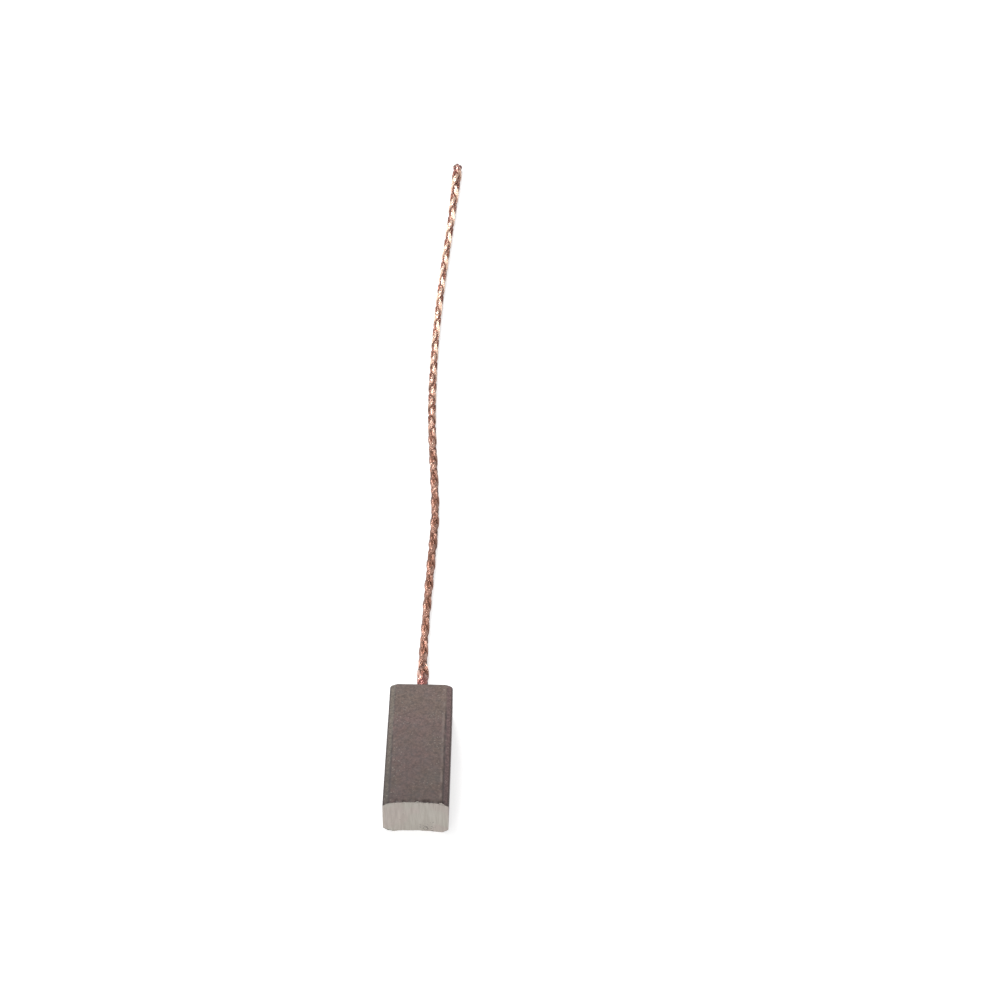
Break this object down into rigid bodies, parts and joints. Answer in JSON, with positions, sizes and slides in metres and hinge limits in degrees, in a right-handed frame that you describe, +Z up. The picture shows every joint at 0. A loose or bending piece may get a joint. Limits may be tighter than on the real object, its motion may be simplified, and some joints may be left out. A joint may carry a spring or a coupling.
{
  "type": "carbon brush",
  "caption": "Bevelled rectangular carbon brush with a hollow-ground running face and a bare braided copper lead out of its rear end.",
  "frame": {"origin": "middle of the block's footprint on the surface that it lies on, without the lead", "axes": "+Y along the brush from its running face to its lead, +X across its 8 mm width, +Z up through its 5.2 mm thickness"},
  "size_m": [0.008, 0.1491, 0.0052],
  "materials": {
    "carbon": "matt pressed carbon and copper powder, brown-grey",
    "copper": "bare bright copper braid, slightly tarnished"
  },
  "bodies": {
    "root": {"carbon_block": "carbon", "copper_lead": "copper"}
  },
  "joints": []
}
